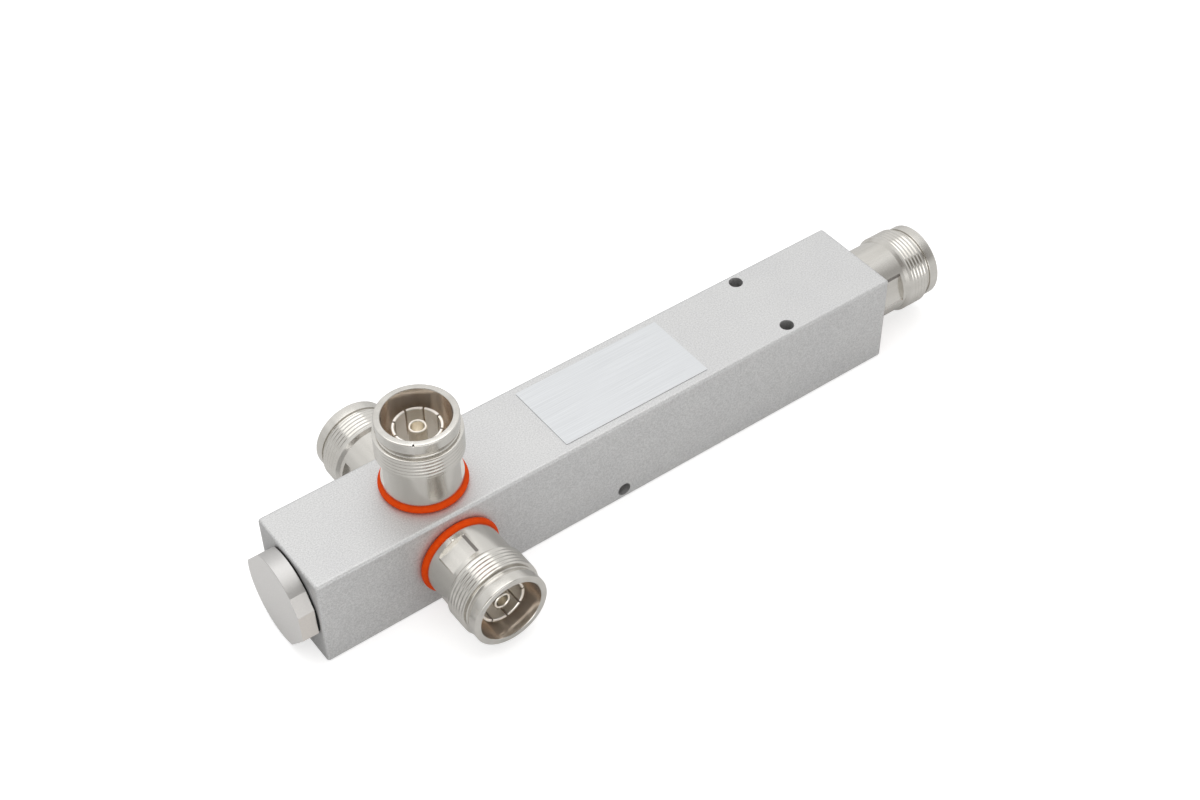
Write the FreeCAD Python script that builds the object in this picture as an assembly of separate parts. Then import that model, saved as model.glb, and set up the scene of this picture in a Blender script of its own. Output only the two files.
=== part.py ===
import FreeCAD, Part
import os

# Three-way coaxial power splitter: a square bar, bored through as the outer conductor of an air line,
# with one input socket on its right end and three output sockets near its left end.
# Frame: X along the bar from the plugged end (-) to the input (+), Z up, -Y is the front side.
# The origin is the centre of the bar's bottom face. Sizes are in millimetres.

# Bar
bar_length = 162.0
bar_side = 25.0
bar_edge_radius = 0.8
line_bore_radius = 7.0
socket_seat_depth = 4.0
output_setback = 35.0  # plugged end to the axis of the three outputs

# Mounting holes through the corners of the section
mount_hole_radius = 1.75
mount_hole_offset = 9.6  # from the bar's axis
top_hole_setback = 30.3  # input end to the pair of upright holes
side_hole_setback = 81.0  # input end to the crosswise hole

# Socket, measured outward from the bar's face
socket_height = 20.9
seal_height = 1.8
collar_land = 1.7
thread_start = 11.0
thread_length = 5.5
thread_end_chamfer = 0.15
neck_corner = 0.3
lip_length = 2.65
lip_chamfer = 0.3
mouth_depth = 11.0
seat_step_depth = 12.5
bead_length = 3.0
spigot_relief_length = 0.8

# Socket's thread, and the steps in radius that lead from it to every other turned size
thread_radius = 10.0
collar_step = 0.7
seat_step = 1.3
spigot_relief = 0.3
neck_step = 0.95
lip_step = 0.6
mouth_wall = 1.2
sleeve_seat_step = 1.35
sleeve_relief = 0.8
sleeve_wall = 0.7
bead_step = 0.9
bead_shoulder = 0.6

# Spanner flats of a socket, milled as shallow pockets with sloped sides
flat_depth = 1.05
flat_floor_half_width = 3.35
flat_length = 5.7
flat_end_slope = 0.3

# Spring sleeve in the mouth
sleeve_recess = 3.3
sleeve_slot_width = 0.45
sleeve_slot_count = 8
sleeve_root = 0.6
sleeve_tip_round = 0.15

# Centre contact
contact_radius = 2.05
contact_recess = 3.5
contact_bore_radius = 1.5
contact_bore_depth = 3.8
contact_tip_round = 0.15
contact_waist_radius = 1.6
contact_tail_radius = 2.15
contact_pin_radius = 1.0
input_pin_length = 4.0
output_pin_length = 3.0
pin_end_clearance = 0.5
pin_clearance = 0.05

# Seal rings
seal_overhang = 0.85  # how far a squeezed ring stands out past the collar
seal_clearance = 0.05

# Inner conductor, three steps from the input to the outputs
step_radii = (3.55, 4.3, 5.0)
step_length = 42.0
rod_start_gap = 1.0  # input socket's spigot to the rod's end
hub_overrun = 6.0  # past the axis of the outputs
hub_flat_distance = 4.6
hub_flat_radius = 2.4
support_length = 4.0
support_groove_depth = 0.4
rod_chamfer = 0.3

# End plug
plug_head_radius = 11.8
plug_head_gap = 0.45
plug_head_length = 3.95
plug_flat_half_width = 10.55
plug_edge_chamfer = 0.1
plug_spigot_length = 8.0
plug_spigot_relief = 0.5
plug_spigot_relief_length = 1.5
plug_seal_inset = 0.4  # inside the head's outline
plug_seal_clearance = 0.3
plug_seat_depth = 9.0

# Foil on the top face
label_length = 40.5
label_width = 20.3
label_thickness = 0.12
label_corner_radius = 0.3
label_offset = 5.9  # from the bar's middle

# Turning of each socket about its own axis, in degrees
flat_angle = {"input": 165.0, "top": -28.0, "front": 116.5, "back": 9.0}
slot_angle = {"input": 12.0, "top": -2.0, "front": 8.4, "back": 20.0}

# Spanner flats of the plug as (direction in degrees, distance from the axis)
plug_main_flats = (-40.0, 140.0)
plug_small_flats = ((-176.5, 11.2), (-147.0, 11.55))

# Worked out from the sizes above
collar_radius = thread_radius - collar_step
socket_seat_radius = collar_radius - seat_step
neck_radius = thread_radius - neck_step
lip_radius = thread_radius - lip_step
mouth_radius = neck_radius - mouth_wall
sleeve_seat_radius = mouth_radius - sleeve_seat_step
sleeve_outer_radius = sleeve_seat_radius - sleeve_relief
sleeve_inner_radius = sleeve_outer_radius - sleeve_wall
bead_radius = sleeve_seat_radius - bead_step
port_bore_radius = bead_radius - bead_shoulder
bar_middle = bar_side / 2
output_x = output_setback - bar_length / 2
input_face_x = bar_length / 2
plug_face_x = -bar_length / 2
top_hole_x = bar_length / 2 - top_hole_setback
side_hole_x = bar_length / 2 - side_hole_setback
thread_end = thread_start + thread_length
neck_start = thread_end + thread_end_chamfer
lip_start = socket_height - lip_length
bead_end = socket_height - seat_step_depth
rod_start_x = input_face_x - socket_seat_depth - rod_start_gap
rod_end_x = output_x - hub_overrun
origin = FreeCAD.Vector(0, 0, 0)
axis_x = FreeCAD.Vector(1, 0, 0)
axis_y = FreeCAD.Vector(0, 1, 0)
axis_z = FreeCAD.Vector(0, 0, 1)


def filled(points):
    """Flat face inside a closed outline."""
    return Part.Face(Part.makePolygon(points + points[:1]))


def turned(profile):
    """Revolve a closed outline of (radius, height) points about the Z axis."""
    face = filled([FreeCAD.Vector(radius, 0, height) for radius, height in profile])
    return face.revolve(origin, axis_z, 360)


def cylinder(radius, start, end, direction=axis_z, centre=origin):
    """Round bar between two distances along a direction from a centre."""
    return Part.makeCylinder(radius, end - start, centre + direction * start, direction)


def cut_flat(shape, angle, distance, start, end):
    """Mill a flat right across a round head, facing the given direction."""
    reach = 2 * plug_head_radius
    cutter = Part.makeBox(reach, 2 * reach, end - start, FreeCAD.Vector(distance, -reach, start))
    cutter.rotate(origin, axis_z, angle)
    return shape.cut(cutter)


def cut_pocket(shape, angle, start):
    """Mill a spanner flat into a socket's collar, with a steep start and sloped sides."""
    floor = collar_radius - flat_depth
    outside = collar_radius + flat_depth
    spread = flat_floor_half_width + 2 * flat_depth
    end = start + flat_length
    profile = [(floor, start), (outside, start - 2 * flat_end_slope), (outside, end), (floor, end)]
    along = filled([FreeCAD.Vector(out, -spread, height) for out, height in profile])
    half = flat_floor_half_width
    section = [(floor, half), (outside, spread), (outside, -spread), (floor, -half)]
    across = filled([FreeCAD.Vector(out, side, 0) for out, side in section])
    cutter = along.extrude(axis_y * 2 * spread).common(across.extrude(axis_z * socket_height))
    cutter.rotate(origin, axis_z, angle)
    return shape.cut(cutter)


def rounded_tip(outer, inner, tip, radius):
    """Outline points of a tube end at height tip with both corners broken, outer corner first."""
    return [(outer, tip - radius), (outer - radius, tip), (inner + radius, tip), (inner, tip - radius)]


def port_placement(name):
    """Placement that takes a socket modelled along Z onto its face of the bar."""
    frames = {
        "input": (FreeCAD.Vector(input_face_x, 0, bar_middle), axis_y, axis_z, axis_x),
        "top": (FreeCAD.Vector(output_x, 0, bar_side), axis_x, axis_y, axis_z),
        "front": (FreeCAD.Vector(output_x, -bar_middle, bar_middle), axis_x, axis_z, -axis_y),
        "back": (FreeCAD.Vector(output_x, bar_middle, bar_middle), axis_x, -axis_z, axis_y),
        "plug": (FreeCAD.Vector(plug_face_x, 0, bar_middle), axis_y, -axis_z, -axis_x),
    }
    base, local_x, local_y, local_z = frames[name]
    return FreeCAD.Placement(base, FreeCAD.Rotation(local_x, local_y, local_z, "ZXY"))


def placed(shape, port):
    """Copy of a shape modelled along Z, moved onto its face of the bar."""
    copy = shape.copy()
    copy.Placement = port_placement(port)
    return copy


def bar_body():
    """Square bar with its line bore, seats, port bores and corner holes."""
    corner = FreeCAD.Vector(plug_face_x, -bar_middle, 0)
    block = Part.makeBox(bar_length, bar_side, bar_side, corner)
    block = block.makeFillet(bar_edge_radius, block.Edges)
    centre = FreeCAD.Vector(0, 0, bar_middle)
    cutters = [cylinder(line_bore_radius, plug_face_x, input_face_x, axis_x, centre)]
    for port in ("input", "top", "front", "back"):
        cutters.append(placed(cylinder(socket_seat_radius, -socket_seat_depth, 0), port))
    for port in ("top", "front", "back"):
        cutters.append(placed(cylinder(port_bore_radius, -bar_middle, 0), port))
    cutters.append(placed(cylinder(socket_seat_radius, -plug_seat_depth, 0), "plug"))
    for side in (-mount_hole_offset, mount_hole_offset):
        foot = FreeCAD.Vector(top_hole_x, side, 0)
        cutters.append(cylinder(mount_hole_radius, 0, bar_side, axis_z, foot))
    side_hole_centre = FreeCAD.Vector(side_hole_x, 0, bar_middle - mount_hole_offset)
    cutters.append(cylinder(mount_hole_radius, -bar_middle, bar_middle, axis_y, side_hole_centre))
    return block.cut(cutters)


def socket_shell(port):
    """Turned shell: spigot, collar with two spanner flats, thread, neck, lip and stepped mouth."""
    spigot_root = -spigot_relief_length
    outside = [
        (port_bore_radius, -socket_seat_depth),
        (socket_seat_radius, -socket_seat_depth),
        (socket_seat_radius, spigot_root),
        (socket_seat_radius - spigot_relief, spigot_root),
        (socket_seat_radius - spigot_relief, seal_height),
        (collar_radius, seal_height),
        (collar_radius, thread_start - (thread_radius - collar_radius)),
        (thread_radius, thread_start),
        (thread_radius, thread_end),
        (thread_radius - thread_end_chamfer, neck_start),
        (neck_radius + neck_corner, neck_start),
        (neck_radius, neck_start + neck_corner),
        (neck_radius, lip_start - neck_corner),
        (neck_radius + neck_corner, lip_start),
        (lip_radius, lip_start),
        (lip_radius, socket_height - lip_chamfer),
        (lip_radius - lip_chamfer, socket_height),
    ]
    inside = [
        (mouth_radius, socket_height),
        (mouth_radius, socket_height - mouth_depth),
        (sleeve_seat_radius, socket_height - mouth_depth),
        (sleeve_seat_radius, bead_end),
        (bead_radius, bead_end),
        (bead_radius, bead_end - bead_length),
        (port_bore_radius, bead_end - bead_length),
    ]
    shell = turned(outside + inside)
    for angle in (flat_angle[port], flat_angle[port] + 180):
        shell = cut_pocket(shell, angle, seal_height + collar_land)
    return placed(shell, port)


def spring_sleeve(port):
    """Outer contact: a stepped tube pressed into the shell, slotted into eight fingers."""
    tip = socket_height - sleeve_recess
    floor = socket_height - mouth_depth
    sleeve = turned([
        (sleeve_inner_radius, bead_end),
        (sleeve_seat_radius, bead_end),
        (sleeve_seat_radius, floor),
        (sleeve_outer_radius, floor),
        *rounded_tip(sleeve_outer_radius, sleeve_inner_radius, tip, sleeve_tip_round),
    ])
    slots = []
    for index in range(sleeve_slot_count):
        base = FreeCAD.Vector(0, -sleeve_slot_width / 2, floor + sleeve_root)
        slot = Part.makeBox(sleeve_seat_radius, sleeve_slot_width, mouth_depth, base)
        slot.rotate(origin, axis_z, slot_angle[port] + index * 360 / sleeve_slot_count)
        slots.append(slot)
    return placed(sleeve.cut(slots), port)


def centre_contact(port):
    """Hollow contact on the socket's axis, waisted in its bead, with a pin into the rod."""
    tip = socket_height - contact_recess
    if port == "input":
        shoulder = -socket_seat_depth - rod_start_gap
        pin_end = shoulder - input_pin_length
    else:
        shoulder = hub_flat_distance - bar_middle
        pin_end = shoulder - output_pin_length
    waist_start = bead_end - bead_length
    contact = turned([
        (0, pin_end),
        (contact_pin_radius, pin_end),
        (contact_pin_radius, shoulder),
        (contact_tail_radius, shoulder),
        (contact_tail_radius, waist_start),
        (contact_waist_radius, waist_start),
        (contact_waist_radius, bead_end),
        (contact_radius, bead_end),
        *rounded_tip(contact_radius, contact_bore_radius, tip, contact_tip_round),
        (contact_bore_radius, tip - contact_bore_depth),
        (0, tip - contact_bore_depth),
    ])
    return placed(contact, port)


def bead(port):
    """Plastic washer that holds the contact's waist inside the shell."""
    washer = turned([
        (contact_waist_radius, bead_end - bead_length),
        (bead_radius, bead_end - bead_length),
        (bead_radius, bead_end),
        (contact_waist_radius, bead_end),
    ])
    return placed(washer, port)


def seal_ring(port):
    """Rubber ring squeezed between the bar's face and the collar, bulging past the collar."""
    inner = socket_seat_radius + seal_clearance
    bulge_start = collar_radius + seal_overhang - seal_height / 2
    inner_face = [FreeCAD.Vector(inner, 0, seal_height), FreeCAD.Vector(inner, 0, 0)]
    low = FreeCAD.Vector(bulge_start, 0, 0)
    high = FreeCAD.Vector(bulge_start, 0, seal_height)
    widest = FreeCAD.Vector(bulge_start + seal_height / 2, 0, seal_height / 2)
    outline = Part.Wire([
        Part.makePolygon([high, *inner_face, low]),
        Part.Arc(low, widest, high).toShape(),
    ])
    return placed(Part.Face(outline).revolve(origin, axis_z, 360), port)


def end_plug():
    """Screw plug: flat head with spanner flats over a relieved spigot."""
    head_top = plug_head_gap + plug_head_length
    relief_start = -plug_spigot_relief_length
    plug = turned([
        (0, -plug_spigot_length),
        (socket_seat_radius - plug_spigot_relief, -plug_spigot_length),
        (socket_seat_radius, plug_spigot_relief - plug_spigot_length),
        (socket_seat_radius, relief_start),
        (socket_seat_radius - plug_spigot_relief, relief_start),
        (socket_seat_radius - plug_spigot_relief, plug_head_gap),
        (plug_head_radius, plug_head_gap),
        (plug_head_radius, head_top - plug_edge_chamfer),
        (plug_head_radius - plug_edge_chamfer, head_top),
        (0, head_top),
    ])
    main_flats = [(angle, plug_flat_half_width) for angle in plug_main_flats]
    for angle, distance in main_flats + list(plug_small_flats):
        plug = cut_flat(plug, angle, distance, plug_head_gap, head_top)
    return placed(plug, "plug")


def end_plug_seal():
    """Thin rubber washer squeezed between the plug's head and the bar's end."""
    inner = socket_seat_radius + plug_seal_clearance
    outer = plug_head_radius - plug_seal_inset
    washer = turned([(inner, 0), (outer, 0), (outer, plug_head_gap), (inner, plug_head_gap)])
    for angle in plug_main_flats:
        washer = cut_flat(washer, angle, plug_flat_half_width - plug_seal_inset, 0, plug_head_gap)
    return placed(washer, "plug")


def inner_conductor():
    """Stepped rod on the bar's axis, with flats and pin holes where the contacts land."""
    support_x = rod_start_x - 1.5 * step_length
    groove_radius = step_radii[1] - support_groove_depth
    steps = []
    for index, radius in enumerate(step_radii):
        start = rod_start_x - index * step_length
        end = start - step_length if index < len(step_radii) - 1 else rod_end_x
        steps.append((radius, start, end))
    outline = [(0, steps[0][1])]
    for index, (radius, start, end) in enumerate(steps):
        outline += [(radius - rod_chamfer, start), (radius, start - rod_chamfer)]
        if index == 1:
            for side, depth in ((1, radius), (1, groove_radius), (-1, groove_radius), (-1, radius)):
                outline.append((depth, support_x + side * support_length / 2))
        if index == len(steps) - 1:
            outline += [(radius, end + rod_chamfer), (radius - rod_chamfer, end), (0, end)]
        else:
            outline.append((radius, end))
    rod = turned(outline)
    rod.rotate(origin, axis_y, 90)
    rod.translate(FreeCAD.Vector(0, 0, bar_middle))
    hole_radius = contact_pin_radius + pin_clearance
    input_hole_end = -socket_seat_depth - rod_start_gap - input_pin_length - pin_end_clearance
    cutters = [placed(cylinder(hole_radius, input_hole_end, 0), "input")]
    flat_level = hub_flat_distance - bar_middle
    hole_end = flat_level - output_pin_length - pin_clearance
    for port in ("top", "front", "back"):
        cutters.append(placed(cylinder(hub_flat_radius, flat_level, 0), port))
        cutters.append(placed(cylinder(hole_radius, hole_end, 0), port))
    return rod.cut(cutters)


def rod_support():
    """Plastic ring between the rod's groove and the bore of the bar."""
    groove_radius = step_radii[1] - support_groove_depth
    ring = turned([
        (groove_radius, -support_length / 2),
        (line_bore_radius, -support_length / 2),
        (line_bore_radius, support_length / 2),
        (groove_radius, support_length / 2),
    ])
    ring.rotate(origin, axis_y, 90)
    ring.translate(FreeCAD.Vector(rod_start_x - 1.5 * step_length, 0, bar_middle))
    return ring


def rating_label():
    """Thin bare foil on the top face."""
    corner = FreeCAD.Vector(label_offset - label_length / 2, -label_width / 2, bar_side)
    foil = Part.makeBox(label_length, label_width, label_thickness, corner)
    upright = [edge for edge in foil.Edges if abs(edge.Length - label_thickness) < 1e-6]
    return foil.makeFillet(label_corner_radius, upright)


def nodes():
    """Every piece by its node name."""
    pieces = {
        "bar_body": bar_body(),
        "end_plug": end_plug(),
        "end_plug_seal": end_plug_seal(),
        "rating_label": rating_label(),
        "inner_conductor": inner_conductor(),
        "rod_support": rod_support(),
    }
    for port in ("input", "top", "front", "back"):
        pieces[port + "_socket_shell"] = socket_shell(port)
        pieces[port + "_seal_ring"] = seal_ring(port)
        pieces[port + "_spring_sleeve"] = spring_sleeve(port)
        pieces[port + "_centre_contact"] = centre_contact(port)
        pieces[port + "_bead"] = bead(port)
    return pieces


os.makedirs("parts", exist_ok=True)
for node_name, node_shape in nodes().items():
    node_shape.exportStep("parts/" + node_name + ".step")
    print(node_name, len(node_shape.Solids), round(node_shape.Volume, 2), node_shape.isValid())
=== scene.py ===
import math

import bpy
from mathutils import Matrix, Vector


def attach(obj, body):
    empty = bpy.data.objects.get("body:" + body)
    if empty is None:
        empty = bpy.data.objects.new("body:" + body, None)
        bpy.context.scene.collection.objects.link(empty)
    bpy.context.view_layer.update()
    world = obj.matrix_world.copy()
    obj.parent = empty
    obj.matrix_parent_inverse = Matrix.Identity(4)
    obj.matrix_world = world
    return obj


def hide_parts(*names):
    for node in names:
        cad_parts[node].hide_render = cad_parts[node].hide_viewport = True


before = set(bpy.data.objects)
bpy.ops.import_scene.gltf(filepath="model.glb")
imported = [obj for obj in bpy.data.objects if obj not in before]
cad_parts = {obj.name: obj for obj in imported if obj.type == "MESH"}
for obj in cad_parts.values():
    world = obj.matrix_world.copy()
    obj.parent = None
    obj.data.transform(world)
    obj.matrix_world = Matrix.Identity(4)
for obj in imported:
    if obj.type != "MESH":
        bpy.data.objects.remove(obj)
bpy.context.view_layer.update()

# Sizes of the part are in millimetres and pass through MM on their way into Blender.
# Sizes of the floor, the lamps and the grain in the materials are in metres.
MM = 0.001
BAR_LENGTH = 162.0
BAR_SIDE = 25.0
BAR_MIDDLE = BAR_SIDE / 2
OUTPUT_X = -46.0

# Outside of a socket. Starts, ends and heights are distances outward from the bar's face.
SOCKET_HEIGHT = 20.9
SEAL_HEIGHT = 1.8
SPIGOT_RADIUS = 7.7
SPIGOT_RELIEF_LENGTH = 0.8
SEAT_RADIUS = 8.0
SEAT_DEPTH = 4.0
COLLAR_RADIUS = 9.3
SHOULDER_START = 10.3
NECK_RADIUS = 8.8
NECK_START = 16.65
NECK_CORNER = 0.3
LIP_RADIUS = 9.4
LIP_START = 18.25
LIP_ROUND = 0.35
EDGE_BREAK = 0.12

# Thread: its groove starts after a lead and is full depth from THREAD_FULL on
THREAD_START = 11.0
THREAD_LEAD = 0.3
THREAD_FULL = 12.3
THREAD_END = 16.5
THREAD_RADIUS = 10.0
THREAD_PITCH = 1.0
THREAD_DEPTH = 0.14
THREAD_EDGE = 0.05
THREAD_CHAMFER = 0.15

# Two spanner flats of a socket, each with a steep sloped side and a shallow one
FLAT_DEPTH = 1.05
FLAT_HALF_WIDTH = 3.35
FLAT_WALL_TILT = math.radians(45)
FLAT_RIM_TILT = math.radians(8)
FLAT_START = 3.5
FLAT_END = 9.2
FLAT_END_SLOPE = 0.3
FLAT_EDGE = 0.02  # rows stand this far before and after the sharp end
FLAT_REACH = math.radians(40)  # from a flat's middle, past both its sides
FLAT_INNER = math.atan2(FLAT_HALF_WIDTH, COLLAR_RADIUS - FLAT_DEPTH)  # from its middle to its floor's edge

# Mouth of a socket, down to the line's bore
MOUTH_RADIUS = 7.85
MOUTH_FLOOR = 9.9
SLEEVE_SEAT_RADIUS = 6.5
BEAD_TOP = 8.4
BEAD_BOTTOM = 5.4
BEAD_RADIUS = 5.6
PORT_BORE_RADIUS = 5.0

# Small nick in the lip of the top socket, with angles in degrees
NICK_ANGLE = 233.5
NICK_SPREAD = 1.3
NICK_DEPTH = 0.2
NICK_START = SOCKET_HEIGHT - LIP_ROUND - 0.05
NICK_END_RADIUS = LIP_RADIUS - LIP_ROUND + 0.01

# Fineness of the turned shells, and the slack with which their faces are sorted by place
RING_COUNT = 240
ROWS_PER_PITCH = 14
SHARP_ANGLE = math.radians(28)
ROW_SLACK = 0.01
ANGLE_SLACK = 1e-4
HALF_FACE = 0.2  # from the first side of a face near the nick to its middle, in degrees

# Materials of a shell: most of it, its mouth, painted shade in the nick, and painted shade on the shallow
# side of each flat
SHELL_KINDS = ("plated_metal", "mouth_metal", "nick_painted_shade", "flat_side_painted_shade")

# Place of each socket on the bar, its local X and Y axes, and the turn of its flats in degrees
PORTS = {
    "input": ((BAR_LENGTH / 2, 0, BAR_MIDDLE), (0, 1, 0), (0, 0, 1), 165.0),
    "top": ((OUTPUT_X, 0, BAR_SIDE), (1, 0, 0), (0, 1, 0), -28.0),
    "front": ((OUTPUT_X, -BAR_MIDDLE, BAR_MIDDLE), (1, 0, 0), (0, 0, 1), 116.5),
    "back": ((OUTPUT_X, BAR_MIDDLE, BAR_MIDDLE), (1, 0, 0), (0, 0, -1), 9.0),
}


def port_matrix(port):
    """Local frame of a socket: origin on the bar's face, Z outward."""
    base, local_x, local_y, _ = PORTS[port]
    x_axis = Vector(local_x)
    y_axis = Vector(local_y)
    rotation = Matrix((x_axis, y_axis, x_axis.cross(y_axis))).transposed()
    return Matrix.Translation(Vector(base) * MM) @ rotation.to_4x4()


# Camera


def add_camera():
    """Camera solved from the bar's edges and the sockets' rims in the photograph."""
    position = Vector((-184.254, -258.909, 339.184)) * MM
    right = Vector((0.80568, -0.59220, -0.01319))
    down = Vector((-0.42756, -0.56599, -0.70488))
    forward = Vector((0.40996, 0.57355, -0.70921))
    data = bpy.data.cameras.new("camera")
    data.sensor_width = 36.0
    data.lens = 58.15
    data.shift_x = 0.0044
    data.shift_y = 0.0077
    data.clip_start = 0.01
    data.clip_end = 50.0
    camera = bpy.data.objects.new("camera", data)
    rotation = Matrix((right, -down, -forward)).transposed()
    camera.matrix_world = Matrix.Translation(position) @ rotation.to_4x4()
    bpy.context.scene.collection.objects.link(camera)
    bpy.context.scene.camera = camera


# Node helpers


def new_material(name):
    """New material with its node tree and its shader."""
    material = bpy.data.materials.new(name)
    material.use_nodes = True
    tree = material.node_tree
    return material, tree, tree.nodes["Principled BSDF"]


def add_node(tree, kind, **inputs):
    """Add a node with the given values on its inputs."""
    node = tree.nodes.new(kind)
    for key, value in inputs.items():
        node.inputs[key].default_value = value
    return node


def scaled(tree, vector, scale):
    """Coordinates scaled along each axis."""
    mapping = tree.nodes.new("ShaderNodeMapping")
    mapping.inputs["Scale"].default_value = scale
    tree.links.new(vector, mapping.inputs["Vector"])
    return mapping.outputs["Vector"]


def object_coords(tree, scale=(1, 1, 1)):
    """Coordinates of the object in metres."""
    coords = tree.nodes.new("ShaderNodeTexCoord")
    return scaled(tree, coords.outputs["Object"], scale)


def turned_coords(tree, scale):
    """Coordinates of a turned piece: two that go around it, and the distance along its outline in mm."""
    source = tree.nodes.new("ShaderNodeAttribute")
    source.attribute_name = "turned"
    return scaled(tree, source.outputs["Vector"], scale)


def noise(tree, vector, scale, detail, roughness=0.5):
    """Noise from 0 to 1."""
    node = add_node(tree, "ShaderNodeTexNoise", Scale=scale, Detail=detail, Roughness=roughness)
    tree.links.new(vector, node.inputs["Vector"])
    return node.outputs["Fac"]


def ramp(tree, factor, stops):
    """Color at a factor, between stops of (position, color)."""
    node = tree.nodes.new("ShaderNodeValToRGB")
    elements = node.color_ramp.elements
    for index, (position, color) in enumerate(stops):
        element = elements[index] if index < 2 else elements.new(position)
        element.position = position
        element.color = (*color, 1.0)
    tree.links.new(factor, node.inputs["Fac"])
    return node.outputs["Color"]


def blend_colors(tree, mode, first, second):
    """Two colors combined in full by a blend mode."""
    node = tree.nodes.new("ShaderNodeMix")
    node.data_type = "RGBA"
    node.blend_type = mode
    node.inputs["Factor"].default_value = 1.0
    tree.links.new(first, node.inputs[6])
    tree.links.new(second, node.inputs[7])
    return node.outputs[2]


def to_range(tree, factor, low, high):
    """Map 0..1 to low..high."""
    node = tree.nodes.new("ShaderNodeMapRange")
    node.inputs["To Min"].default_value = low
    node.inputs["To Max"].default_value = high
    tree.links.new(factor, node.inputs["Value"])
    return node.outputs["Result"]


def from_range(tree, factor, low, high):
    """Map low..high to 0..1."""
    node = tree.nodes.new("ShaderNodeMapRange")
    node.inputs["From Min"].default_value = low
    node.inputs["From Max"].default_value = high
    tree.links.new(factor, node.inputs["Value"])
    return node.outputs["Result"]


def facing(tree, axis):
    """How squarely the surface faces along one of the object's own axes, either way, from 0 to 1."""
    coords = tree.nodes.new("ShaderNodeTexCoord")
    axes = tree.nodes.new("ShaderNodeSeparateXYZ")
    tree.links.new(coords.outputs["Normal"], axes.inputs["Vector"])
    size = add_node(tree, "ShaderNodeMath")
    size.operation = "ABSOLUTE"
    tree.links.new(axes.outputs[axis], size.inputs[0])
    return size.outputs["Value"]


def bump(tree, shader, height, strength, distance):
    """Fine relief from a height, for a shader."""
    node = add_node(tree, "ShaderNodeBump", Strength=strength, Distance=distance)
    tree.links.new(height, node.inputs["Height"])
    tree.links.new(node.outputs["Normal"], shader.inputs["Normal"])


def grey(value, tint=(1.0, 1.0, 1.0)):
    """Grey of a value, with a tint."""
    return tuple(value * channel for channel in tint)


# Materials


def blasted_metal():
    """Fine matte blasted aluminium: grain over a slow drift in tone, with painted shade darkening the cut
    ends.
    """
    material, tree, shader = new_material("bar_metal")
    coords = object_coords(tree)
    fine = noise(tree, coords, 3000.0, 2.0, 0.6)
    broad = noise(tree, coords, 90.0, 2.0)
    grain = ramp(tree, fine, [(0.3, grey(0.53)), (0.7, grey(0.73))])
    drift = ramp(tree, broad, [(0.3, grey(0.97)), (0.7, grey(1.0, (1.0, 1.0, 0.995)))])
    blasted = blend_colors(tree, "MULTIPLY", grain, drift)
    # Painted shade: faces along X, the bar's cut ends, are darkened to 0.82 of the rest.
    painted_end_shade = ramp(tree, facing(tree, "X"), [(0.6, grey(1.0)), (0.95, grey(0.82))])
    tree.links.new(blend_colors(tree, "MULTIPLY", blasted, painted_end_shade), shader.inputs["Base Color"])
    shader.inputs["Metallic"].default_value = 0.7
    tree.links.new(to_range(tree, fine, 0.46, 0.56), shader.inputs["Roughness"])
    bump(tree, shader, fine, 0.25, 0.00005)
    return material


def plated_metal(name, low, high, rough, metallic=1.0):
    """Bright plating over turned metal: highlights drawn out along the axis, streaks and fine rings."""
    material, tree, shader = new_material(name)
    streaks = noise(tree, turned_coords(tree, (2.6, 2.6, 0.03)), 1.0, 2.0)
    rings = noise(tree, turned_coords(tree, (0.5, 0.5, 7.0)), 1.0, 2.0)
    tree.links.new(ramp(tree, streaks, [(0.3, low), (0.7, high)]), shader.inputs["Base Color"])
    shader.inputs["Metallic"].default_value = metallic
    shader.inputs["Anisotropic"].default_value = 0.3
    along = tree.nodes.new("ShaderNodeTangent")
    along.direction_type = "UV_MAP"
    along.uv_map = "along"
    tree.links.new(along.outputs["Tangent"], shader.inputs["Tangent"])
    tree.links.new(to_range(tree, rings, rough - 0.02, rough + 0.02), shader.inputs["Roughness"])
    bump(tree, shader, rings, 0.03, 0.00002)
    return material


def contact_metal(name, tone, tint, rough, end_and_painted_flat_lift=1.0):
    """Bright metal with fine tool marks, lighter by a factor on its end face for that face's finish, and
    with painted light making its flats lighter and warmer.
    """
    material, tree, shader = new_material(name)
    coords = object_coords(tree)
    marks = noise(tree, coords, 2600.0, 2.0)
    color = ramp(tree, marks, [(0.3, grey(tone, tint)), (0.7, grey(tone * 1.06, tint))])
    if end_and_painted_flat_lift > 1.0:
        turned = grey(1.0 / end_and_painted_flat_lift)
        end = ramp(tree, facing(tree, "X"), [(0.6, turned), (0.95, grey(1.0))])
        # Painted light: flats facing along Y are lifted lighter and warmer, standing in for light bounced
        # up from the floor in front.
        flats = ramp(tree, facing(tree, "Y"), [(0.8, turned), (0.98, (1.0, 0.965, 0.93))])
        lift = blend_colors(tree, "LIGHTEN", end, flats)
        color = blend_colors(tree, "MULTIPLY", color, lift)
    tree.links.new(color, shader.inputs["Base Color"])
    shader.inputs["Metallic"].default_value = 1.0
    tree.links.new(to_range(tree, marks, rough - 0.03, rough + 0.05), shader.inputs["Roughness"])
    bump(tree, shader, marks, 0.15, 0.00003)
    return material


def seal_rubber():
    """Orange silicone rubber with a slight bloom."""
    material, tree, shader = new_material("seal_rubber")
    coords = object_coords(tree)
    mottle = noise(tree, coords, 700.0, 3.0)
    color = ramp(tree, mottle, [(0.3, (0.68, 0.056, 0.0015)), (0.7, (0.77, 0.07, 0.002))])
    tree.links.new(color, shader.inputs["Base Color"])
    tree.links.new(to_range(tree, mottle, 0.5, 0.62), shader.inputs["Roughness"])
    shader.inputs["Specular IOR Level"].default_value = 0.08
    bump(tree, shader, mottle, 0.1, 0.00004)
    return material


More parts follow.
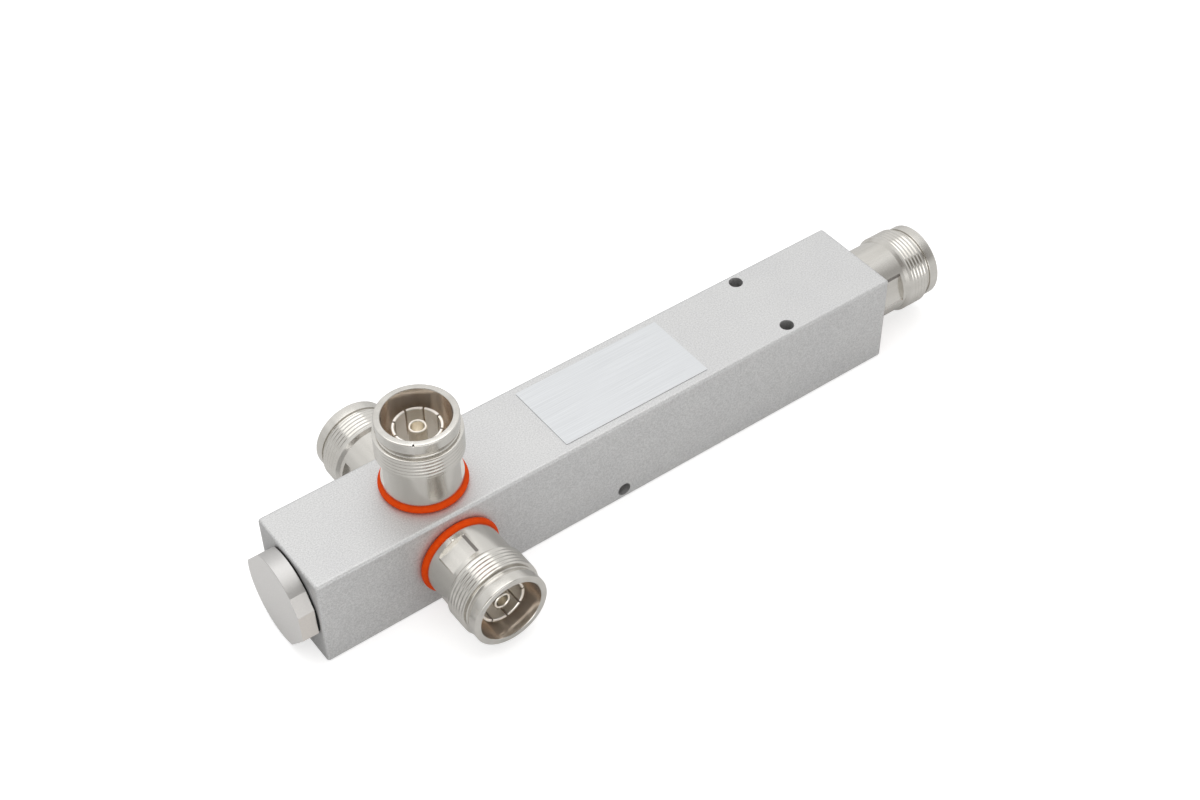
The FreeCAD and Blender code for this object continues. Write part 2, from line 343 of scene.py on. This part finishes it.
def gasket_rubber():
    """Near-black material of the gasket under the end plug, with a faint mottle; it keeps the gap under the
    plug's head dark.
    """
    material, tree, shader = new_material("gasket_rubber")
    bloom = noise(tree, object_coords(tree), 900.0, 3.0)
    color = ramp(tree, bloom, [(0.3, grey(0.008)), (0.7, grey(0.016))])
    tree.links.new(color, shader.inputs["Base Color"])
    tree.links.new(to_range(tree, bloom, 0.6, 0.75), shader.inputs["Roughness"])
    shader.inputs["Specular IOR Level"].default_value = 0.1
    return material


def insulator_plastic():
    """Milky fluoroplastic."""
    material, tree, shader = new_material("insulator_plastic")
    coords = object_coords(tree)
    cloud = noise(tree, coords, 500.0, 2.0)
    color = ramp(tree, cloud, [(0.3, (0.87, 0.86, 0.83)), (0.7, (0.92, 0.91, 0.89))])
    tree.links.new(color, shader.inputs["Base Color"])
    tree.links.new(to_range(tree, cloud, 0.45, 0.6), shader.inputs["Roughness"])
    return material


def label_foil():
    """Bare foil brushed along the bar, dark on its cut edges: partly the adhesive's own colour, partly
    painted shade.
    """
    material, tree, shader = new_material("label_foil")
    streaks = noise(tree, object_coords(tree, (40.0, 5000.0, 1.0)), 1.0, 4.0, 0.65)
    cool = (0.98, 1.0, 1.02)
    brushed = ramp(tree, streaks, [(0.25, grey(0.60, cool)), (0.75, grey(0.77, cool))])
    # Side faces of the foil are darkened: partly the adhesive's colour, partly painted shade.
    edge_adhesive_and_shade = ramp(tree, facing(tree, "Z"), [(0.3, grey(0.3)), (0.7, grey(1.0))])
    tree.links.new(blend_colors(tree, "MULTIPLY", brushed, edge_adhesive_and_shade), shader.inputs["Base Color"])
    shader.inputs["Metallic"].default_value = 0.7
    tree.links.new(to_range(tree, streaks, 0.46, 0.56), shader.inputs["Roughness"])
    bump(tree, shader, streaks, 0.15, 0.00003)
    return material


# Turned pieces


def corner(radius, station, size, start, end):
    """Rows of a rounded corner about its centre, from one direction to another in degrees."""
    steps = 5
    turns = [math.radians(start + (end - start) * i / steps) for i in range(steps + 1)]
    return [(radius + size * math.cos(turn), station + size * math.sin(turn)) for turn in turns]


def outer_outline():
    """Outside of a socket as (radius, station) rows from its spigot to its face."""
    rows = [
        (PORT_BORE_RADIUS, -SEAT_DEPTH),
        (SEAT_RADIUS, -SEAT_DEPTH),
        (SEAT_RADIUS, -SPIGOT_RELIEF_LENGTH),
        (SPIGOT_RADIUS, -SPIGOT_RELIEF_LENGTH),
        (SPIGOT_RADIUS, SEAL_HEIGHT),
        (COLLAR_RADIUS - EDGE_BREAK, SEAL_HEIGHT),
        (COLLAR_RADIUS, SEAL_HEIGHT + EDGE_BREAK),
    ]
    steps = 8
    slope_start = FLAT_START - FLAT_END_SLOPE
    rows += [(COLLAR_RADIUS, slope_start + FLAT_END_SLOPE * i / steps) for i in range(steps + 1)]
    rows += [(COLLAR_RADIUS, station) for station in (5.0, 7.0, FLAT_END - FLAT_EDGE, FLAT_END + FLAT_EDGE)]
    rows += [(COLLAR_RADIUS, SHOULDER_START), (THREAD_RADIUS - THREAD_EDGE, THREAD_START - THREAD_EDGE)]
    length = THREAD_END - THREAD_START
    count = int(length * ROWS_PER_PITCH / THREAD_PITCH)
    rows += [(THREAD_RADIUS, THREAD_START + length * i / count) for i in range(count + 1)]
    rows += [
        (THREAD_RADIUS - THREAD_EDGE, THREAD_END + 2 * THREAD_EDGE),
        (THREAD_RADIUS - THREAD_CHAMFER, NECK_START),
    ]
    rows += corner(NECK_RADIUS + NECK_CORNER, NECK_START + NECK_CORNER, NECK_CORNER, 270, 180)
    rows += corner(NECK_RADIUS + NECK_CORNER, LIP_START - NECK_CORNER, NECK_CORNER, 180, 90)
    rows += corner(LIP_RADIUS - EDGE_BREAK, LIP_START + EDGE_BREAK, EDGE_BREAK, 270, 360)
    rows.append((LIP_RADIUS, NICK_START - ROW_SLACK))
    rows += corner(LIP_RADIUS - LIP_ROUND, SOCKET_HEIGHT - LIP_ROUND, LIP_ROUND, 0, 90)
    return rows


def inner_outline():
    """Mouth of a socket as (radius, station) rows from its face down to the line's bore."""
    return [
        (MOUTH_RADIUS + EDGE_BREAK, SOCKET_HEIGHT),
        (MOUTH_RADIUS, SOCKET_HEIGHT - EDGE_BREAK),
        (MOUTH_RADIUS, MOUTH_FLOOR),
        (SLEEVE_SEAT_RADIUS, MOUTH_FLOOR),
        (SLEEVE_SEAT_RADIUS, BEAD_TOP),
        (BEAD_RADIUS, BEAD_TOP),
        (BEAD_RADIUS, BEAD_BOTTOM),
        (PORT_BORE_RADIUS, BEAD_BOTTOM),
    ]


def thread_cut(station, angle):
    """Depth of the thread's groove at a place on the socket's outside."""
    if station < THREAD_START or station > THREAD_END:
        return 0.0
    turn = (station - THREAD_END) / THREAD_PITCH - angle / (2 * math.pi)
    groove = 0.5 + 0.5 * math.cos(2 * math.pi * turn)
    fade = (station - THREAD_START - THREAD_LEAD) / (THREAD_FULL - THREAD_START - THREAD_LEAD)
    return THREAD_DEPTH * groove * min(1.0, max(0.0, fade))


def from_flat(angle, flat_angle):
    """Angle from the middle of the nearer of the two flats, in radians."""
    return (angle - math.radians(flat_angle) + math.pi / 2) % math.pi - math.pi / 2


def flat_limit(station, angle, flat_angle):
    """Largest radius that the two spanner flats leave at a place on the socket's outside."""
    if station > FLAT_END or station < SEAL_HEIGHT:
        return math.inf
    turn = from_flat(angle, flat_angle)
    if abs(turn) > FLAT_REACH:
        return math.inf
    floor = COLLAR_RADIUS - FLAT_DEPTH
    rise = FLAT_DEPTH * max(0.0, FLAT_START - station) / FLAT_END_SLOPE
    tilt = FLAT_WALL_TILT if turn > 0 else FLAT_RIM_TILT
    slope = math.tan(tilt)
    wall = (floor - FLAT_HALF_WIDTH * slope) / (math.cos(turn) - abs(math.sin(turn)) * slope)
    return max((floor + rise) / math.cos(turn), wall)


def flat_outer(tilt):
    """Angle from a flat's middle to the outer edge of its sloped side."""
    reach = (COLLAR_RADIUS - FLAT_DEPTH) * math.cos(tilt) - FLAT_HALF_WIDTH * math.sin(tilt)
    return math.acos(reach / COLLAR_RADIUS) - tilt


def flat_edges(flat_angle):
    """Angles at which the floors and the sloped sides of the two flats end."""
    edges = (-flat_outer(FLAT_RIM_TILT), -FLAT_INNER, FLAT_INNER, flat_outer(FLAT_WALL_TILT))
    return [math.radians(flat_angle) + half + edge for half in (0, math.pi) for edge in edges]


def ring_angles(count, extra):
    """Evenly spread angles around a ring, and extra ones where an edge falls."""
    angles = {round(2 * math.pi * i / count, 5) for i in range(count)}
    angles |= {round(value % (2 * math.pi), 5) for value in extra}
    return sorted(angles)


def lathe(name, outline, angles, radius_of):
    """Closed mesh from an outline of (radius, station) rows, with coordinates around and along it."""
    verts = []
    turned = []
    travelled = [0.0]
    for before, after in zip(outline, outline[1:]):
        travelled.append(travelled[-1] + math.dist(before, after))
    for (radius, station), path in zip(outline, travelled):
        for angle in angles:
            cut = radius_of(radius, station, angle)
            verts.append((cut * math.cos(angle) * MM, cut * math.sin(angle) * MM, station * MM))
            turned += [math.cos(angle), math.sin(angle), path]
    count = len(angles)
    rows = len(outline)
    faces = []
    for row in range(rows):
        here = row * count
        after = (row + 1) % rows * count
        for col in range(count):
            beside = (col + 1) % count
            faces.append((here + col, here + beside, after + beside, after + col))
    mesh = bpy.data.meshes.new(name)
    mesh.from_pydata(verts, [], faces)
    mesh.attributes.new("turned", "FLOAT_VECTOR", "POINT").data.foreach_set("vector", turned)
    around = [angle / (2 * math.pi) for angle in angles] + [1.0 + angles[0] / (2 * math.pi)]
    reach = [distance / travelled[-1] for distance in travelled] + [1.0]
    along = []
    for row in range(rows):
        for col in range(count):
            for down, beside in ((row, col), (row, col + 1), (row + 1, col + 1), (row + 1, col)):
                along += [reach[down], around[beside]]
    mesh.uv_layers.new(name="along").data.foreach_set("uv", along)
    mesh.shade_smooth()
    mesh.set_sharp_from_angle(angle=SHARP_ANGLE)
    return mesh


def add_piece(name, mesh, matrix, kinds, slot, *nodes):
    """Put a mesh in place of one or more CAD nodes."""
    mesh.transform(matrix)
    piece = bpy.data.objects.new(name, mesh)
    bpy.context.scene.collection.objects.link(piece)
    for kind in kinds:
        mesh.materials.append(materials[kind])
    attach(piece, "root")
    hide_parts(*nodes)


def add_socket(port):
    """Threaded shell of one socket."""
    flat_angle = PORTS[port][3]
    outline = outer_outline()
    outside = len(outline)
    outline += inner_outline()
    cut_start = SEAT_RADIUS + 0.1  # the spigot and the mouth are slimmer and stay uncut

    def radius_of(radius, station, angle):
        """Radius that the thread, the nick and the flats leave at a place."""
        if radius < cut_start:
            return radius
        radius -= thread_cut(station, angle)
        if port == "top" and station > NICK_START:
            away = math.degrees(angle) - NICK_ANGLE
            radius -= NICK_DEPTH * max(0.0, 1 - (away / NICK_SPREAD) ** 2)
        return min(radius, flat_limit(station, angle, flat_angle))

    nick = [math.radians(NICK_ANGLE + NICK_SPREAD * step / 4) for step in range(-4, 5)]
    angles = ring_angles(RING_COUNT, flat_edges(flat_angle) + nick)
    name = port + "_threaded_shell"
    mesh = lathe(name, outline, angles, radius_of)
    add_piece(name, mesh, port_matrix(port), SHELL_KINDS, SHELL_KINDS[0], port + "_socket_shell")
    rim_outer = flat_outer(FLAT_RIM_TILT) + ANGLE_SLACK
    rim_start = FLAT_START - ROW_SLACK
    rim_end = FLAT_END - FLAT_EDGE - ROW_SLACK
    for face in mesh.polygons:
        row, col = divmod(face.index, len(angles))
        radius, station = outline[row]
        from_nick = abs(math.degrees(angles[col]) + HALF_FACE - NICK_ANGLE)
        on_nick = from_nick < NICK_SPREAD and station > NICK_START and radius > NICK_END_RADIUS
        from_middle = -from_flat(angles[col], flat_angle)
        if row > outside:
            face.material_index = SHELL_KINDS.index("mouth_metal")
        # Painted shade: faces in the nick take a near-black material.
        elif port == "top" and on_nick:
            face.material_index = SHELL_KINDS.index("nick_painted_shade")
        # Painted shade: faces on the shallow side of each flat take a dark material.
        elif rim_start < station < rim_end and FLAT_INNER < from_middle < rim_outer:
            face.material_index = SHELL_KINDS.index("flat_side_painted_shade")


# Floor, light and backdrop

# Direction of the sky's dim patch, and the sky's color by how near a direction is to it, from 0 to 1
SKY_DARK = (-0.30, -0.72, 0.62)
SKY_STOPS = [
    (0.52, (0.96, 0.96, 0.96)),
    (0.70, (0.80, 0.80, 0.80)),
    (0.82, (0.42, 0.415, 0.41)),
    (0.91, (0.25, 0.235, 0.215)),
    (0.97, (0.22, 0.205, 0.185)),
]


def add_floor():
    """Pale floor just under the object, white to the camera and a little brighter in reflections."""
    reach = 6.0
    drop = 0.00005
    corners = [(-reach, -reach, 0), (reach, -reach, 0), (reach, reach, 0), (-reach, reach, 0)]
    mesh = bpy.data.meshes.new("floor")
    mesh.from_pydata(corners, [], [(0, 1, 2, 3)])
    floor = bpy.data.objects.new("floor", mesh)
    floor.location = (0, 0, -drop)
    bpy.context.scene.collection.objects.link(floor)
    material, tree, shader = new_material("floor")
    speckle = noise(tree, object_coords(tree), 60.0, 2.0)
    color = ramp(tree, speckle, [(0.3, grey(0.61)), (0.7, grey(0.63))])
    tree.links.new(color, shader.inputs["Base Color"])
    shader.inputs["Roughness"].default_value = 0.9
    shader.inputs["Specular IOR Level"].default_value = 0.1
    rays = tree.nodes.new("ShaderNodeLightPath")
    direct = add_node(tree, "ShaderNodeMath")
    direct.operation = "MAXIMUM"
    tree.links.new(rays.outputs["Is Camera Ray"], direct.inputs[0])
    tree.links.new(rays.outputs["Is Transmission Ray"], direct.inputs[1])
    seen_lift, mirrored_lift = 0.6, 0.1
    lift = add_node(tree, "ShaderNodeMath")
    lift.operation = "ADD"
    tree.links.new(to_range(tree, direct.outputs["Value"], 0.0, seen_lift), lift.inputs[0])
    tree.links.new(to_range(tree, rays.outputs["Is Glossy Ray"], 0.0, mirrored_lift), lift.inputs[1])
    white = tree.nodes.new("ShaderNodeEmission")
    tree.links.new(lift.outputs["Value"], white.inputs["Strength"])
    add = tree.nodes.new("ShaderNodeAddShader")
    tree.links.new(shader.outputs["BSDF"], add.inputs[0])
    tree.links.new(white.outputs["Emission"], add.inputs[1])
    tree.links.new(add.outputs["Shader"], tree.nodes["Material Output"].inputs["Surface"])
    mesh.materials.append(material)


def add_world():
    """Studio around the object: bright all round, with a dim patch in front, and white at the horizon."""
    horizon, horizon_low, horizon_high = 0.8, 0.25, 0.45
    world = bpy.data.worlds.new("studio")
    bpy.context.scene.world = world
    world.use_nodes = True
    tree = world.node_tree
    ambient = tree.nodes["Background"]
    coords = tree.nodes.new("ShaderNodeTexCoord")
    towards = add_node(tree, "ShaderNodeVectorMath")
    towards.operation = "DOT_PRODUCT"
    towards.inputs[1].default_value = SKY_DARK
    tree.links.new(coords.outputs["Generated"], towards.inputs[0])
    sky = ramp(tree, from_range(tree, towards.outputs["Value"], -1.0, 1.0), SKY_STOPS)
    axes = tree.nodes.new("ShaderNodeSeparateXYZ")
    tree.links.new(coords.outputs["Generated"], axes.inputs["Vector"])
    height = from_range(tree, axes.outputs["Z"], horizon_low, horizon_high)
    mix = tree.nodes.new("ShaderNodeMix")
    mix.data_type = "RGBA"
    rays = tree.nodes.new("ShaderNodeLightPath")
    tree.links.new(to_range(tree, rays.outputs["Is Camera Ray"], horizon, 1.0), mix.inputs[6])
    tree.links.new(height, mix.inputs["Factor"])
    tree.links.new(sky, mix.inputs[7])
    tree.links.new(mix.outputs[2], ambient.inputs["Color"])
    ambient.inputs["Strength"].default_value = 1.0


def add_softbox(name, position, target, size, energy):
    """Rectangular lamp that shines towards a target."""
    data = bpy.data.lights.new(name, "AREA")
    data.shape = "RECTANGLE"
    data.size, data.size_y = size
    data.energy = energy
    lamp = bpy.data.objects.new(name, data)
    lamp.location = position
    lamp.rotation_euler = (Vector(target) - Vector(position)).to_track_quat("-Z", "Y").to_euler()
    bpy.context.scene.collection.objects.link(lamp)


# Scene

bpy.context.scene.view_settings.view_transform = "Standard"
add_camera()
materials = {
    "bar_metal": blasted_metal(),
    "plug_metal": contact_metal("plug_metal", 0.74, (1.0, 0.985, 0.965), 0.44, end_and_painted_flat_lift=1.42),
    "plated_metal": plated_metal("plated_metal", (0.61, 0.59, 0.55), (0.71, 0.69, 0.65), 0.23),
    "mouth_metal": plated_metal("mouth_metal", (0.79, 0.69, 0.59), (0.94, 0.86, 0.77), 0.17, metallic=0.85),
    # Painted shade: near-black material for the nick in the top socket's lip.
    "nick_painted_shade": contact_metal("nick_painted_shade", 0.04, (1.0, 0.9, 0.85), 0.6),
    # Painted shade: dark material for the shallow side of each flat.
    "flat_side_painted_shade": contact_metal("flat_side_painted_shade", 0.24, (1.0, 0.93, 0.87), 0.4),
    "sleeve_metal": contact_metal("sleeve_metal", 0.94, (1.0, 0.955, 0.895), 0.32),
    "contact_metal": contact_metal("contact_metal", 0.94, (1.0, 0.95, 0.86), 0.28),
    "rod_metal": contact_metal("rod_metal", 0.7, (1.0, 0.85, 0.55), 0.3),
    "seal_rubber": seal_rubber(),
    "gasket_rubber": gasket_rubber(),
    "insulator_plastic": insulator_plastic(),
    "label_foil": label_foil(),
}
# Material of each CAD node, by its whole name or by the part of its name after the socket's
NODE_KINDS = {
    "bar_body": "bar_metal",
    "end_plug": "plug_metal",
    "end_plug_seal": "gasket_rubber",
    "rating_label": "label_foil",
    "inner_conductor": "rod_metal",
    "rod_support": "insulator_plastic",
    "socket_shell": "plated_metal",
    "seal_ring": "seal_rubber",
    "spring_sleeve": "sleeve_metal",
    "centre_contact": "contact_metal",
    "bead": "insulator_plastic",
}
for node_name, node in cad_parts.items():
    kind = NODE_KINDS.get(node_name) or NODE_KINDS[node_name.split("_", 1)[1]]
    node.data.materials.clear()
    node.data.materials.append(materials[kind])

for port in PORTS:
    add_socket(port)

add_floor()
add_world()
add_softbox("key", (-0.12, 0.0, 1.15), (-0.12, 0.0, 0), (1.4, 1.4), 7.6)
add_softbox("front", (-0.3, -1.0, 0.27), (-0.046, 0, 0.0125), (1.2, 0.5), 2.8)
